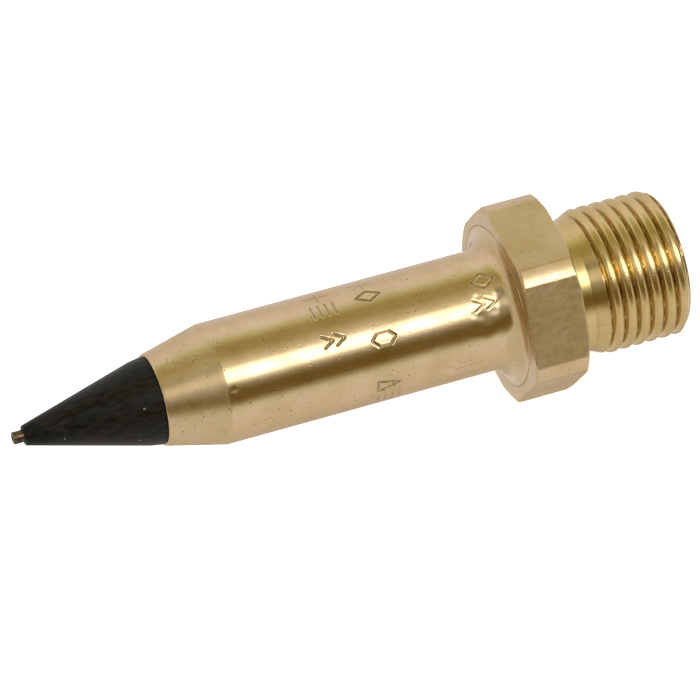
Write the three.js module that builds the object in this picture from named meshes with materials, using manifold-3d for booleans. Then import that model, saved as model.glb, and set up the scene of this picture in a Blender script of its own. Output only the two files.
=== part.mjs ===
// Oil burner nozzle with a tapered insulating tip, a male inlet thread, a built-in
// anti-drip valve and a cartridge strainer. Millimetres.
//
// Frame: X is the nozzle's axis. The spray end points to -X and the inlet thread to +X.
// The origin is the centre of the hexagon's rear face, where the nozzle seats in its holder.
// One hexagon flat faces -Z, so the nozzle lies on it.

import * as THREE from "three";
import { mergeVertices } from "three/addons/utils/BufferGeometryUtils.js";
import Module from "manifold-3d";

const wasm = await Module();
wasm.setup();

// ---- Driving dimensions -------------------------------------------------------------

const BODY_SIDES = 48; // facets round the body
const PART_SIDES = 24; // facets round every smaller piece
const GAP = 0.03; // assembly clearance between neighbouring pieces

// Body, outside
const HEX_ACROSS_FLATS = 12;
const HEX_ACROSS_CORNERS = 13.2; // the bar's corners are turned off to this circle
const HEX_LENGTH = 3.8;
const HEX_FACE_RADIUS = 6.25; // flat front face inside the 30 degree chamfer
const HEX_REAR_FACE_RADIUS = 6.2;
const BARREL_RADIUS = 3.93;
const BARREL_LENGTH = 19.46;
const NECK_FILLET = 1.25; // from the barrel up the hexagon's front face
const NECK_STEPS = 8;
const NOSE_LENGTH = 3.92;
const LIP_RADIUS = 2.97; // small end of the conical nose

// Inlet thread, G 1/8
const THREAD_RADIUS = 4.8;
const THREAD_PITCH = 0.907;
const THREAD_DEPTH = 0.581;
const THREAD_FLAT = 0.14; // width of each crest
const LEAD_IN_RADIUS = 4.6; // at the foot of the first crest, towards the hexagon
const LEAD_IN = 0.5; // length of that slope
const UNDERCUT_RADIUS = 4.25;
const UNDERCUT_LENGTH = 1.3; // from the seating face
const THREAD_GROOVES = 5;
const INLET_LENGTH = 7.79; // from the seating face to the inlet end
const END_CHAMFER = 0.45;

// Body, inside, from the inlet forwards: radius and how far its front end is from the seat
const CARTRIDGE_BORE = { radius: 3.3, front: 5.2 };
const STRAINER_BORE = { radius: 2.8, front: -4.4 };
const VALVE_BORE = { radius: 2.55, front: -13.6 };
const FEED_BORE = { radius: 1.9, front: -22.1 };
const TIP_BORE = { radius: 2.3 };

// Tip
const TIP_BASE_RADIUS = 2.95;
const TIP_END_RADIUS = 0.8;
const TIP_LENGTH = 8.6;
const TIP_ROUNDING = 0.16;
const SPIGOT_LENGTH = 4.6;
const TUBE_RADIUS = 0.4;
const TUBE_BORE_RADIUS = 0.19;
const TUBE_PROUD = 0.7; // how far the tube stands out of the tip
const FERRULE_RADIUS = 0.9;
const FERRULE_LENGTH = 0.8;

// Anti-drip valve
const POPPET_TRAVEL = 0.9;
const STEM_RADIUS = 0.6;
const STEM_HOLE_RADIUS = 0.65;
const POPPET_HEAD_RADIUS = 1.75;
const POPPET_HEAD_LENGTH = 0.95;
const SPRING_MEAN_RADIUS = 1.22;
const SPRING_WIRE_RADIUS = 0.19;
const SPRING_TURNS = 5.5;

// ---- Stations along the axis --------------------------------------------------------

const HEX_FRONT = -HEX_LENGTH;
const NOSE_EDGE = HEX_FRONT - BARREL_LENGTH;
const LIP = NOSE_EDGE - NOSE_LENGTH;
const TIP_BASE = LIP - GAP;
const TIP_END = LIP - TIP_LENGTH;
const SPIGOT_REAR = TIP_BASE + SPIGOT_LENGTH;
const FERRULE_REAR = SPIGOT_REAR - 0.55;
const FERRULE_FRONT = FERRULE_REAR - FERRULE_LENGTH;
const GUIDE_FRONT = VALVE_BORE.front + GAP;
const GUIDE_REAR = GUIDE_FRONT + 1.2;
const WASHER_REAR = GUIDE_REAR + GAP + 0.25;
const POPPET_SHOULDER = -7; // the head's face under the rubber seal
const HEAD_FRONT = POPPET_SHOULDER - POPPET_HEAD_LENGTH;
const SEAL_FACE = POPPET_SHOULDER + 0.42;
const SEAT_LIP = SEAL_FACE + GAP;

// ---- Materials ----------------------------------------------------------------------

const material = (color, roughness, metalness) =>
  new THREE.MeshStandardMaterial({ color, roughness, metalness });

const BRASS = { color: 0xc9a45c, roughness: 0.25, metalness: 1 };
const BRONZE = { color: 0x7d5a38, roughness: 0.4, metalness: 1 };
const STEEL = { color: 0xb9bcc0, roughness: 0.3, metalness: 1 };
const COPPER = { color: 0xb66a45, roughness: 0.35, metalness: 1 };
const BLACK_TIP = { color: 0x121212, roughness: 0.45, metalness: 0 };
const BLACK_RUBBER = { color: 0x1b1b1d, roughness: 0.7, metalness: 0 };

// ---- Solid building -----------------------------------------------------------------

// A manifold solid from a closed geometry: seams welded, collapsed triangles dropped.
function solid(geometry) {
  const bare = geometry.clone();
  bare.deleteAttribute("normal");
  bare.deleteAttribute("uv");
  const welded = mergeVertices(bare, 1e-5);
  const index = welded.index.array;
  const triangles = [];
  for (let i = 0; i < index.length; i += 3) {
    const [a, b, c] = index.slice(i, i + 3);
    if (a !== b && b !== c && c !== a) {
      triangles.push(a, b, c);
    }
  }
  const mesh = new wasm.Mesh({
    numProp: 3,
    vertProperties: new Float32Array(welded.attributes.position.array),
    triVerts: new Uint32Array(triangles),
  });
  return new wasm.Manifold(mesh);
}

function toGeometry(manifold) {
  const mesh = manifold.getMesh();
  const geometry = new THREE.BufferGeometry();
  geometry.setAttribute("position", new THREE.BufferAttribute(mesh.vertProperties, 3));
  geometry.setIndex(new THREE.BufferAttribute(mesh.triVerts, 1));
  return geometry;
}

// Revolves a closed outline of [x, radius] points, listed anticlockwise as seen with
// +X to the right and the radius up, about the X axis.
function turned(outline, sides = PART_SIDES) {
  const points = outline.map(([x, radius]) => new THREE.Vector2(radius, x)).reverse();
  points.push(points[0].clone());
  return new THREE.LatheGeometry(points, sides).rotateZ(-Math.PI / 2);
}

// A plain ring between two stations and two radii.
function ring(front, rear, innerRadius, outerRadius, sides = PART_SIDES) {
  const outline = [
    [front, innerRadius],
    [rear, innerRadius],
    [rear, outerRadius],
    [front, outerRadius],
  ];
  return turned(outline, sides);
}

// A box cutter: its size along X, Y and Z, its centre, then its turn about the X axis.
function cutter(size, centre, turn = 0) {
  const geometry = new THREE.BoxGeometry(...size).translate(...centre).rotateX(turn);
  return solid(geometry);
}

// A drill along X at a given radius and turn from the axis.
function axialDrill(front, rear, radius, offset, turn) {
  const outline = [
    [front, 0],
    [rear, 0],
    [rear, radius],
    [front, radius],
  ];
  const geometry = turned(outline, 12).translate(0, 0, offset).rotateX(turn);
  return solid(geometry);
}

function cutAway(stock, cutters) {
  return toGeometry(cutters.reduce((rest, tool) => rest.subtract(tool), solid(stock)));
}

const spread = (count, make) =>
  Array.from({ length: count }, (_, i) => make((2 * Math.PI * i) / count));

// ---- Body ---------------------------------------------------------------------------

// The thread's crests and roots from the end chamfer forwards, then down to the undercut.
function threadOutline() {
  const points = [];
  const root = THREAD_RADIUS - THREAD_DEPTH;
  const mouth = (THREAD_PITCH - THREAD_FLAT) / 2;
  let middle = INLET_LENGTH - END_CHAMFER - THREAD_FLAT - mouth;
  for (let i = 0; i < THREAD_GROOVES; i += 1) {
    points.push([middle + mouth, THREAD_RADIUS]);
    points.push([middle + THREAD_FLAT / 2, root]);
    points.push([middle - THREAD_FLAT / 2, root]);
    points.push([middle - mouth, THREAD_RADIUS]);
    middle -= THREAD_PITCH;
  }
  const lastCrest = middle + mouth;
  points.push([lastCrest, THREAD_RADIUS]);
  points.push([lastCrest - LEAD_IN, LEAD_IN_RADIUS]);
  points.push([UNDERCUT_LENGTH, UNDERCUT_RADIUS]);
  return points;
}

// The hollow curve from the hexagon's front face down to the barrel.
function neckFillet() {
  const points = [];
  for (let i = 0; i <= NECK_STEPS; i += 1) {
    const turn = ((i / NECK_STEPS) * Math.PI) / 2;
    const x = HEX_FRONT - NECK_FILLET * (1 - Math.cos(turn));
    points.push([x, BARREL_RADIUS + NECK_FILLET * (1 - Math.sin(turn))]);
  }
  return points;
}

// Bore from the nose to the inlet, then the outside back to the nose.
function bodyOutline() {
  return [
    [LIP, TIP_BORE.radius],
    [FEED_BORE.front, TIP_BORE.radius],
    [FEED_BORE.front, FEED_BORE.radius],
    [VALVE_BORE.front, FEED_BORE.radius],
    [VALVE_BORE.front, VALVE_BORE.radius],
    [STRAINER_BORE.front, VALVE_BORE.radius],
    [STRAINER_BORE.front, STRAINER_BORE.radius],
    [CARTRIDGE_BORE.front, STRAINER_BORE.radius],
    [CARTRIDGE_BORE.front, CARTRIDGE_BORE.radius],
    [INLET_LENGTH - 0.25, CARTRIDGE_BORE.radius],
    [INLET_LENGTH, CARTRIDGE_BORE.radius + 0.25],
    [INLET_LENGTH, THREAD_RADIUS - END_CHAMFER],
    [INLET_LENGTH - END_CHAMFER, THREAD_RADIUS],
    ...threadOutline(),
    [HEX_FRONT / 2, UNDERCUT_RADIUS],
    [HEX_FRONT / 2, BARREL_RADIUS + NECK_FILLET],
    ...neckFillet(),
    [NOSE_EDGE, BARREL_RADIUS],
    [LIP, LIP_RADIUS],
  ];
}

// A closed shape through points given as [angle, radius].
function polarShape(corners) {
  const place = ([angle, radius]) => {
    return new THREE.Vector2(radius * Math.cos(angle), radius * Math.sin(angle));
  };
  return new THREE.Shape(corners.map(place));
}

// The hexagonal bar's section: flats joined by the short turned-off corners.
function hexSection() {
  const cornerRadius = HEX_ACROSS_CORNERS / 2;
  const halfFlat = Math.acos(HEX_ACROSS_FLATS / HEX_ACROSS_CORNERS);
  const flats = spread(6, (middle) => [middle - halfFlat, middle + halfFlat]).flat();
  return polarShape(flats.map((angle) => [angle, cornerRadius]));
}

// The hexagon, cut back by the turned chamfers of its two end faces.
function hexCollar() {
  const bar = new THREE.ExtrudeGeometry(hexSection(), { depth: HEX_LENGTH, bevelEnabled: false });
  bar.rotateY(Math.PI / 2).translate(HEX_FRONT, 0, 0);
  const slope = Math.tan(Math.PI / 6);
  const reach = 1.5; // past the corners
  const envelope = [
    [HEX_FRONT, 0],
    [0, 0],
    [0, HEX_REAR_FACE_RADIUS],
    [-reach * slope, HEX_REAR_FACE_RADIUS + reach],
    [HEX_FRONT + reach * slope, HEX_FACE_RADIUS + reach],
    [HEX_FRONT, HEX_FACE_RADIUS],
  ];
  const core = ring(HEX_FRONT - 1, 1, 0, BARREL_RADIUS - 0.4, BODY_SIDES);
  return solid(bar).intersect(solid(turned(envelope, BODY_SIDES))).subtract(solid(core));
}

function nozzleBody() {
  return toGeometry(solid(turned(bodyOutline(), BODY_SIDES)).add(hexCollar()));
}

// ---- Tip ----------------------------------------------------------------------------

function tipCone() {
  const hole = TUBE_RADIUS + GAP;
  const slope = (TIP_BASE_RADIUS - TIP_END_RADIUS) / (TIP_LENGTH - TIP_ROUNDING);
  const spigotRadius = TIP_BORE.radius - GAP;
  const outline = [
    [TIP_END, hole],
    [FERRULE_FRONT - GAP, hole],
    [FERRULE_FRONT - GAP, FERRULE_RADIUS + GAP],
    [SPIGOT_REAR, FERRULE_RADIUS + GAP],
    [SPIGOT_REAR, spigotRadius],
    [TIP_BASE, spigotRadius],
    [TIP_BASE, TIP_BASE_RADIUS - TIP_ROUNDING],
    [TIP_BASE - TIP_ROUNDING / 2, TIP_BASE_RADIUS - TIP_ROUNDING / 5],
    [TIP_BASE - TIP_ROUNDING, TIP_BASE_RADIUS - slope * TIP_ROUNDING],
    [TIP_END + 0.12, TIP_END_RADIUS + slope * 0.12],
    [TIP_END, TIP_END_RADIUS - 0.06],
  ];
  return turned(outline, BODY_SIDES);
}

const orificeTube = () => ring(TIP_END - TUBE_PROUD, FERRULE_REAR + 0.1, TUBE_BORE_RADIUS, TUBE_RADIUS);

const orificeFerrule = () => ring(FERRULE_FRONT, FERRULE_REAR, TUBE_RADIUS + GAP, FERRULE_RADIUS);

const tipSeal = () =>
  ring(SPIGOT_REAR + GAP, FEED_BORE.front - GAP, FEED_BORE.radius + GAP, TIP_BORE.radius - GAP);

// ---- Swirl distributor --------------------------------------------------------------

const DISTRIBUTOR_FRONT = SPIGOT_REAR + GAP;
const DISTRIBUTOR_REAR = DISTRIBUTOR_FRONT + 1.9;
const SCREW_FRONT = DISTRIBUTOR_REAR + GAP;
const SCREW_REAR = SCREW_FRONT + 1.7;

// A plug with three tangential slots in its front face and three flats that feed them.
function swirlDistributor() {
  const radius = FEED_BORE.radius - GAP;
  const stock = ring(DISTRIBUTOR_FRONT, DISTRIBUTOR_REAR, 0.28, radius);
  const slotDepth = 0.45;
  const slotWidth = 0.35;
  const flat = 0.35; // cut off the side
  const length = DISTRIBUTOR_REAR - DISTRIBUTOR_FRONT;
  const middle = (DISTRIBUTOR_FRONT + DISTRIBUTOR_REAR) / 2;
  const slots = spread(3, (turn) =>
    cutter([2 * slotDepth, slotWidth, radius + 0.4], [DISTRIBUTOR_FRONT, 0.55, radius / 2 + 0.2], turn),
  );
  const flats = spread(3, (turn) => cutter([length + 1, 3, 1], [middle, 0, radius - flat + 0.5], turn));
  return cutAway(stock, [...slots, ...flats]);
}

function distributorScrew() {
  const stock = ring(SCREW_FRONT, SCREW_REAR, 0.6, FEED_BORE.radius - GAP);
  return cutAway(stock, [cutter([1.2, 0.6, 5], [SCREW_REAR, 0, 0])]);
}

// ---- Anti-drip valve ----------------------------------------------------------------

// A guide disc with flow holes, and a sleeve that stops the poppet's opening stroke.
function valveGuide() {
  const sleeveRadius = SPRING_MEAN_RADIUS - SPRING_WIRE_RADIUS - 0.08;
  const sleeveRear = HEAD_FRONT - POPPET_TRAVEL - 0.02;
  const outline = [
    [GUIDE_FRONT, STEM_HOLE_RADIUS],
    [sleeveRear, STEM_HOLE_RADIUS],
    [sleeveRear, sleeveRadius],
    [GUIDE_REAR, sleeveRadius],
    [GUIDE_REAR, VALVE_BORE.radius - GAP],
    [GUIDE_FRONT, VALVE_BORE.radius - GAP],
  ];
  const drills = spread(4, (turn) => axialDrill(GUIDE_FRONT - 1, GUIDE_REAR + 1, 0.32, 1.95, turn));
  return cutAway(turned(outline), drills);
}

const springWasher = () =>
  ring(GUIDE_REAR + GAP, WASHER_REAR, SPRING_MEAN_RADIUS - SPRING_WIRE_RADIUS - 0.04, 1.55);

// A compression spring whose end turns lie close together.
class CoilCurve extends THREE.Curve {
  constructor(front, rear) {
    super();
    this.front = front + SPRING_WIRE_RADIUS + GAP;
    this.rear = rear - SPRING_WIRE_RADIUS - GAP;
  }

  getPoint(t) {
    const angle = 2 * Math.PI * SPRING_TURNS * t;
    const eased = t - (0.55 * Math.sin(2 * Math.PI * t)) / (2 * Math.PI);
    const x = this.front + (this.rear - this.front) * eased;
    return new THREE.Vector3(x, SPRING_MEAN_RADIUS * Math.cos(angle), SPRING_MEAN_RADIUS * Math.sin(angle));
  }
}

function valveSpring() {
  const section = polarShape(spread(6, (angle) => [angle, SPRING_WIRE_RADIUS]));
  const path = new CoilCurve(WASHER_REAR, HEAD_FRONT);
  return new THREE.ExtrudeGeometry(section, { steps: 72, extrudePath: path });
}

const POPPET_BOSS_RADIUS = 0.45;
const POPPET_BOSS_LENGTH = 0.8;

function valvePoppet() {
  const stemFront = GUIDE_FRONT - 0.8;
  const outline = [
    [stemFront, 0],
    [POPPET_SHOULDER + POPPET_BOSS_LENGTH, 0],
    [POPPET_SHOULDER + POPPET_BOSS_LENGTH, POPPET_BOSS_RADIUS],
    [POPPET_SHOULDER, POPPET_BOSS_RADIUS],
    [POPPET_SHOULDER, POPPET_HEAD_RADIUS],
    [HEAD_FRONT, POPPET_HEAD_RADIUS],
    [HEAD_FRONT, STEM_RADIUS],
    [stemFront + 0.2, STEM_RADIUS],
    [stemFront, STEM_RADIUS - 0.2],
  ];
  return turned(outline);
}

const poppetSeal = () => ring(POPPET_SHOULDER + 0.02, SEAL_FACE, POPPET_BOSS_RADIUS + GAP, 1.55);

function poppetNut() {
  const stock = ring(SEAL_FACE + 0.02, SEAL_FACE + 0.4, POPPET_BOSS_RADIUS + GAP, 0.8);
  return cutAway(stock, [cutter([0.4, 0.25, 3], [SEAL_FACE + 0.45, 0, 0])]);
}

const SEAT_HOLE_RADIUS = 1;
const SEAT_FLANGE_REAR = -3.3;
const SEAT_FLANGE_FRONT = -4;

// A screwed-in seat: flange, shank and the raised lip that the rubber closes on.
function valveSeat() {
  const shankRadius = VALVE_BORE.radius - GAP;
  const shankFront = SEAT_LIP + 0.3;
  const outline = [
    [SEAT_LIP, SEAT_HOLE_RADIUS],
    [SEAT_FLANGE_REAR, SEAT_HOLE_RADIUS],
    [SEAT_FLANGE_REAR, STRAINER_BORE.radius - GAP],
    [SEAT_FLANGE_FRONT, STRAINER_BORE.radius - GAP],
    [SEAT_FLANGE_FRONT, shankRadius],
    [shankFront, shankRadius],
    [shankFront, SEAT_HOLE_RADIUS + 0.4],
    [SEAT_LIP, SEAT_HOLE_RADIUS + 0.2],
  ];
  return cutAway(turned(outline), [cutter([0.8, 0.7, 7], [SEAT_FLANGE_REAR, 0, 0])]);
}

const seatSeal = () =>
  ring(STRAINER_BORE.front + GAP, SEAT_FLANGE_FRONT - GAP, VALVE_BORE.radius, STRAINER_BORE.radius - GAP);

// ---- Strainer cartridge -------------------------------------------------------------

const FLANGE_FRONT = CARTRIDGE_BORE.front + 0.3;
const FLANGE_REAR = FLANGE_FRONT + 0.7;
const STRAINER_FRONT = -2.3; // front end of the gauze
const CORE_RADIUS = 1.35;
const SUPPORT_RADIUS = 1.6;
const GAUZE_RADIUS = 1.8;

const strainerGasket = () =>
  ring(CARTRIDGE_BORE.front + GAP, FLANGE_FRONT - GAP, STRAINER_BORE.radius, CARTRIDGE_BORE.radius - GAP);

// The flange that the lock ring clamps, and the socket that holds the gauze's rear end.
function strainerFlange() {
  const outline = [
    [FLANGE_FRONT - 0.8, GAUZE_RADIUS + GAP],
    [FLANGE_REAR - 0.3, GAUZE_RADIUS + GAP],
    [FLANGE_REAR - 0.3, CORE_RADIUS],
    [FLANGE_REAR, CORE_RADIUS + 0.3],
    [FLANGE_REAR, CARTRIDGE_BORE.radius - GAP],
    [FLANGE_FRONT, CARTRIDGE_BORE.radius - GAP],
    [FLANGE_FRONT, GAUZE_RADIUS + 0.35],
    [FLANGE_FRONT - 0.8, GAUZE_RADIUS + 0.35],
  ];
  return turned(outline);
}

// The slotted tube that keeps the gauze round.
function strainerSupport() {
  const rear = FLANGE_REAR - 0.3 - GAP;
  const stock = ring(STRAINER_FRONT, rear, CORE_RADIUS, SUPPORT_RADIUS);
  const rows = 3;
  const rowLength = (rear - STRAINER_FRONT) / rows;
  const slots = [];
  for (let row = 0; row < rows; row += 1) {
    const middle = STRAINER_FRONT + rowLength * (row + 0.5);
    for (const turn of [0, Math.PI / 2]) {
      slots.push(cutter([rowLength * 0.6, 0.9, 4], [middle, 0, 0], turn));
    }
  }
  return cutAway(stock, slots);
}

const strainerGauze = () =>
  ring(STRAINER_FRONT, FLANGE_REAR - 0.3 - GAP, SUPPORT_RADIUS + GAP, GAUZE_RADIUS);

// The blind cap crimped over the gauze's front end.
function strainerCap() {
  const floor = STRAINER_FRONT - GAP;
  const outline = [
    [floor - 0.4, 0],
    [floor, 0],
    [floor, GAUZE_RADIUS + GAP],
    [floor + 0.7, GAUZE_RADIUS + GAP],
    [floor + 0.7, GAUZE_RADIUS + 0.3],
    [floor - 0.2, GAUZE_RADIUS + 0.3],
    [floor - 0.4, GAUZE_RADIUS + 0.1],
  ];
  return turned(outline);
}

function inletLockRing() {
  const front = FLANGE_REAR + GAP;
  const rear = INLET_LENGTH - 0.35;
  const stock = ring(front, rear, 2.3, CARTRIDGE_BORE.radius - GAP, BODY_SIDES);
  return cutAway(stock, [cutter([1, 0.9, 8], [rear, 0, 0])]);
}

// ---- Assembly -----------------------------------------------------------------------

const PIECES = [
  ["nozzle_body", nozzleBody, BRASS],
  ["tip_cone", tipCone, BLACK_TIP],
  ["orifice_tube", orificeTube, BRONZE],
  ["orifice_ferrule", orificeFerrule, BRONZE],
  ["tip_seal", tipSeal, COPPER],
  ["swirl_distributor", swirlDistributor, STEEL],
  ["distributor_screw", distributorScrew, BRASS],
  ["valve_guide", valveGuide, BRASS],
  ["spring_washer", springWasher, STEEL],
  ["valve_spring", valveSpring, STEEL],
  ["valve_poppet", valvePoppet, STEEL],
  ["poppet_seal", poppetSeal, BLACK_RUBBER],
  ["poppet_nut", poppetNut, STEEL],
  ["valve_seat", valveSeat, BRASS],
  ["seat_seal", seatSeal, COPPER],
  ["strainer_gasket", strainerGasket, COPPER],
  ["strainer_flange", strainerFlange, BRASS],
  ["strainer_support", strainerSupport, STEEL],
  ["strainer_gauze", strainerGauze, BRONZE],
  ["strainer_cap", strainerCap, BRASS],
  ["inlet_lock_ring", inletLockRing, BRASS],
];

const nozzle = new THREE.Group();
for (const [name, make, look] of PIECES) {
  const mesh = new THREE.Mesh(make(), material(look.color, look.roughness, look.metalness));
  mesh.name = name;
  nozzle.add(mesh);
}

export default nozzle;
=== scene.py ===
"""Looks of an oil burner nozzle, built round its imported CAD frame.

Lengths here are millimetres and angles are degrees until a mesh is made. X is the nozzle's
axis, the spray end points to -X, and an angle round the axis is 0 at -Y and 90 at +Z.
"""

import math

import bmesh
import bpy
import numpy as np
from mathutils import Matrix, Vector


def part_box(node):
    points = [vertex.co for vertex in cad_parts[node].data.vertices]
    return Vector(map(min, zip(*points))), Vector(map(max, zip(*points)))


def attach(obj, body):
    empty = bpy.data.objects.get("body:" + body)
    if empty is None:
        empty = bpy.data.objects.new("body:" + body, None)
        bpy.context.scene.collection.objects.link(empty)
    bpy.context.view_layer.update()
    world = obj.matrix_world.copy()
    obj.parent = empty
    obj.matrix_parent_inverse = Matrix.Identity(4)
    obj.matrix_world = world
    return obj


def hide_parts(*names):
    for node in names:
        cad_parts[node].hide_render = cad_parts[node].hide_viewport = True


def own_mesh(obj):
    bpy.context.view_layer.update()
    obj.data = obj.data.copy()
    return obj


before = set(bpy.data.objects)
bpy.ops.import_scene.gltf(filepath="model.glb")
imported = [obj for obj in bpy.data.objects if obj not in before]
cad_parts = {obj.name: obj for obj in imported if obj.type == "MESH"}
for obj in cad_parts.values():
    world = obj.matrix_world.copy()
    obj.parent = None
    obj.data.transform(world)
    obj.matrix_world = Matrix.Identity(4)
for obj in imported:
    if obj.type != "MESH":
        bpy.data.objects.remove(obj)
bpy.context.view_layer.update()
rng = np.random.default_rng(7)

MM = 0.001
BODY = "nozzle"


def span(node):
    """The front and rear stations of a CAD node along the axis."""
    low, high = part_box(node)
    return low.x / MM, high.x / MM


def outer_radius(node):
    """Half of a round CAD node's height."""
    low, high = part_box(node)
    return (high.z - low.z) / 2 / MM


# ---- Sizes of the body ----------------------------------------------------------------

LIP, INLET_END = span("nozzle_body")
FLAT_RADIUS = 5.965
CORNER_RADIUS = 6.57
CORNER_ARC = 4.8  # half of the turned-off corner's width, in degrees
HEX_TURN = 0.7  # how far the hexagon is turned round the axis
HEX_FRONT = -3.8
HEX_FACE_RADIUS = 6.2
HEX_FACE_OFFSET = 0.25  # the front chamfer is cut this much off centre
HEX_REAR_FACE_RADIUS = 6.2
CHAMFER_SLOPE = math.tan(math.radians(30))
NECK_FILLET = 1.25  # from the barrel up the hexagon's front face
RING_RADIUS = 5.26  # turned line round the front face
RING_SECTION = ((-0.05, 0.0), (-0.025, -0.02), (0.005, -0.015), (0.03, 0.05), (0.06, 0.05), (0.1, 0.0))
BARREL_RADIUS = 3.93
NOSE_EDGE = -23.26
LIP_RADIUS = 2.97

UNDERCUT_RADIUS = 4.25
UNDERCUT_END = 1.25
LEAD_IN_SLOPE = 0.44
THREAD_RADIUS = 4.8
THREAD_PITCH = 0.907
THREAD_DEPTH = 0.40
THREAD_CREST = 2.5  # a higher power makes the crests broader
# Strength of the painted shade that darkens the thread's roots.
THREAD_ROOT_SHADE = 0.22
THREAD_PHASE = 2.63  # station of a crest on the camera's side
THREAD_PHASE_ANGLE = 50
END_CHAMFER = 0.45
SEAT_EDGE = 0.15  # rounding where the undercut meets the seating face

CARTRIDGE_BORE = (3.3, 5.2)  # radius, front end
STRAINER_BORE = (2.8, -4.4)
VALVE_BORE = (2.55, -13.6)
FEED_BORE = (1.9, -22.1)
TIP_BORE_RADIUS = 2.3
MOUTH_CHAMFER = 0.25

# ---- Shape helpers --------------------------------------------------------------------


def smoothstep(low, high, value):
    """0 below low, 1 above high, and a smooth climb between."""
    share = np.clip((value - low) / (high - low), 0, 1)
    return share * share * (3 - 2 * share)


def soft_min(a, b, width):
    """The smaller of a and b, rounded where they cross."""
    return 0.5 * (a + b - np.sqrt((a - b) ** 2 + width**2))


def round_corners(outline, steps=4):
    """A closed outline of (x, radius, edge radius) with each edge turned into a small arc."""
    points = []
    count = len(outline)
    for i, (x, r, edge) in enumerate(outline):
        here = np.array([x, r])
        before = np.array(outline[i - 1][:2]) - here
        after = np.array(outline[(i + 1) % count][:2]) - here
        if edge == 0:
            points.append(here)
            continue
        start = here + before * min(edge / np.linalg.norm(before), 0.45)
        end = here + after * min(edge / np.linalg.norm(after), 0.45)
        for t in np.linspace(0, 1, steps + 1):
            points.append((1 - t) ** 2 * start + 2 * t * (1 - t) * here + t**2 * end)
    return points


def filled(points, longest):
    """The same line with extra points, so that no step is longer than the given length."""
    out = []
    for a, b in zip(points[:-1], points[1:]):
        pieces = max(1, math.ceil(np.linalg.norm(np.subtract(b, a)) / longest))
        out += [np.add(a, np.subtract(b, a) * k / pieces) for k in range(pieces)]
    return out + [points[-1]]


def ring_points(x, radius, angles):
    """Points at station x and the given radius for each angle, all as arrays that broadcast."""
    turn = np.radians(angles)
    x, radius, turn = np.broadcast_arrays(x, radius, turn)
    return np.stack([x, -radius * np.cos(turn), radius * np.sin(turn)], -1)


def mesh_of_rows(name, rows, finishes=None):
    """A closed skin over rows of points: the last row joins the first, and so does the last column."""
    count, across = rows.shape[:2]
    verts = rows.reshape(-1, 3) * MM
    i, j = np.meshgrid(np.arange(count), np.arange(across), indexing="ij")
    up, right = (i + 1) % count, (j + 1) % across
    faces = np.stack([i * across + j, i * across + right, up * across + right, up * across + j], -1)
    mesh = bpy.data.meshes.new(name)
    mesh.from_pydata(verts.tolist(), [], faces.reshape(-1, 4).tolist())
    if finishes is not None:
        shades = np.broadcast_to(np.reshape(finishes, (count, -1)), (count, across))
        mesh.polygons.foreach_set("material_index", shades.ravel().astype(np.int32))
    return mesh


def tidy(mesh, smooth_angle=32):
    """Welds the poles, turns the faces outwards and shades them smooth up to an angle."""
    shape = bmesh.new()
    shape.from_mesh(mesh)
    bmesh.ops.remove_doubles(shape, verts=shape.verts, dist=1e-8)
    if shape.calc_volume(signed=True) < 0:
        bmesh.ops.reverse_faces(shape, faces=shape.faces)
    shape.to_mesh(mesh)
    shape.free()
    mesh.polygons.foreach_set("use_smooth", [True] * len(mesh.polygons))
    mesh.set_sharp_from_angle(angle=math.radians(smooth_angle))
    return mesh


def place(mesh, body, nodes, slot, *finishes):
    """A piece made of the mesh, riding on a body in place of its CAD nodes."""
    piece = bpy.data.objects.new(mesh.name, mesh)
    bpy.context.scene.collection.objects.link(piece)
    for finish in finishes:
        mesh.materials.append(finish)
    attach(piece, body)
    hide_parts(*nodes)
    return piece


def revolve(name, outline, sides=128, longest=1.0):
    """A turned piece from its closed outline of (x, radius, edge radius)."""
    line = round_corners(outline)
    line = filled([*line, line[0]], longest)[:-1]
    angles = np.arange(sides) * 360 / sides
    rows = np.stack([ring_points(x, r, angles) for x, r in line])
    return tidy(mesh_of_rows(name, rows))


# ---- Shader helpers -------------------------------------------------------------------


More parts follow.
